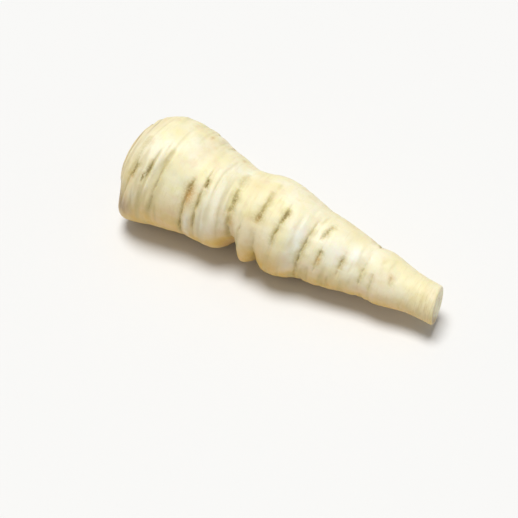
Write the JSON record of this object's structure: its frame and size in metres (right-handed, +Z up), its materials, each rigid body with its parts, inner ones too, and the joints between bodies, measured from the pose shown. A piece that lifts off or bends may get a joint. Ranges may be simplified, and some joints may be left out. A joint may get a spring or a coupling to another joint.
{
  "type": "parsnip",
  "caption": "Cream parsnip root lying on its side, broad at the crown, creased across and tapering to a cut tip.",
  "frame": {"origin": "centre of the footprint, on the surface that the root lies on", "axes": "+X along the root from the crown to the cut tip, -Y the front, +Z up"},
  "size_m": [0.1948, 0.0646, 0.0639],
  "materials": {
    "parsnip_skin": "satin"
  },
  "bodies": {
    "root": {"parsnip": "parsnip_skin"}
  },
  "joints": []
}
